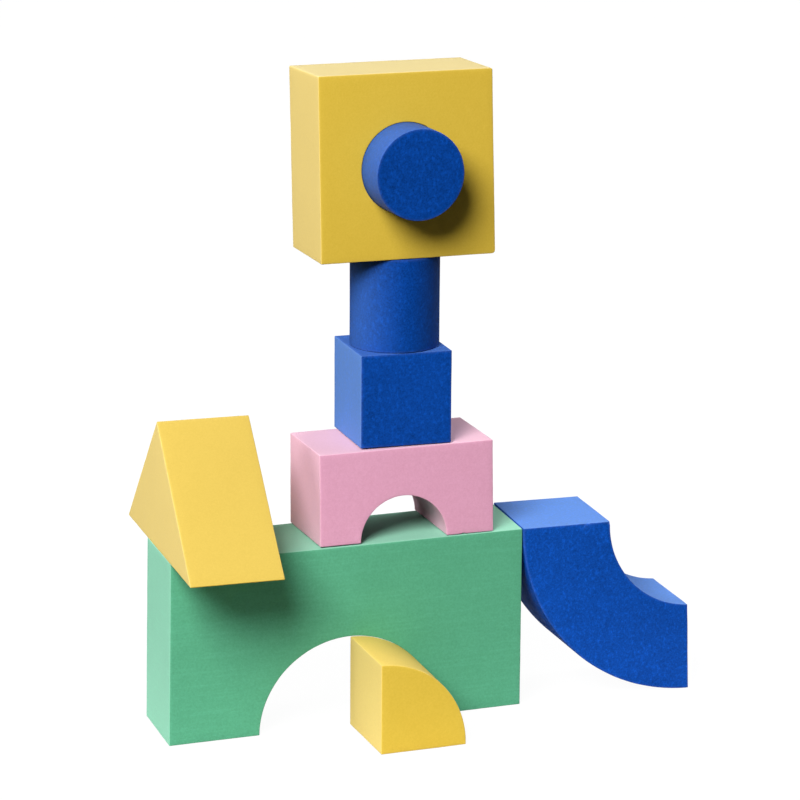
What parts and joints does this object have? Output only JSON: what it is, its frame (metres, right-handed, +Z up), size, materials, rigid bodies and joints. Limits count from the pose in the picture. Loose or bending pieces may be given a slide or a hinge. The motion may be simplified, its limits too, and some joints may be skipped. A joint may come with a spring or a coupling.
{
  "type": "giant building block stack",
  "caption": "Tower of loose giant foam building blocks: arches, cube, cylinders, holed square, roof prism, quarter round and curved ramp that lift or slide apart.",
  "frame": {"origin": "middle of the stack's bounding box, on the floor that it stands on", "axes": "+X to the right along the large arch, +Y from its front to its back, +Z up"},
  "size_m": [0.6098, 0.291, 0.708],
  "materials": {
    "green_foam": "matte closed-cell foam, fine grain",
    "pink_foam": "matte closed-cell foam, fine grain",
    "blue_foam": "matte closed-cell foam, fine grain",
    "yellow_foam": "matte closed-cell foam, fine grain"
  },
  "bodies": {
    "large_arch": {"large_arch": "green_foam"},
    "small_arch": {"small_arch": "pink_foam"},
    "cube_block": {"cube_block": "blue_foam"},
    "neck_cylinder": {"neck_cylinder": "blue_foam"},
    "square_block": {"square_block": "yellow_foam"},
    "peg_cylinder": {"peg_cylinder": "blue_foam"},
    "roof_prism": {"roof_prism": "yellow_foam"},
    "quarter_round": {"quarter_round": "yellow_foam"},
    "curved_ramp": {"curved_ramp": "blue_foam"}
  },
  "joints": [
    {"name": "small_arch_lift", "type": "slide", "parent": "large_arch", "child": "small_arch", "axis": [0, 0, 1], "range_m": [0, 0.12]},
    {"name": "cube_lift", "type": "slide", "parent": "small_arch", "child": "cube_block", "axis": [0, 0, 1], "range_m": [0, 0.12]},
    {"name": "neck_lift", "type": "slide", "parent": "cube_block", "child": "neck_cylinder", "axis": [0, 0, 1], "range_m": [0, 0.12]},
    {"name": "square_lift", "type": "slide", "parent": "neck_cylinder", "child": "square_block", "axis": [0, 0, 1], "range_m": [0, 0.12]},
    {"name": "peg_slide", "type": "slide", "parent": "square_block", "child": "peg_cylinder", "axis": [0, 1, 0], "range_m": [-0.0495, 0.1415]},
    {"name": "prism_lift", "type": "slide", "parent": "large_arch", "child": "roof_prism", "axis": [0, 0, 1], "range_m": [0, 0.12]},
    {"name": "quarter_slide", "type": "slide", "parent": "large_arch", "child": "quarter_round", "axis": [0, 1, 0], "range_m": [-0.1, 0.0985]},
    {"name": "ramp_slide", "type": "slide", "parent": "large_arch", "child": "curved_ramp", "axis": [1, 0, 0], "range_m": [0, 0.2]}
  ]
}
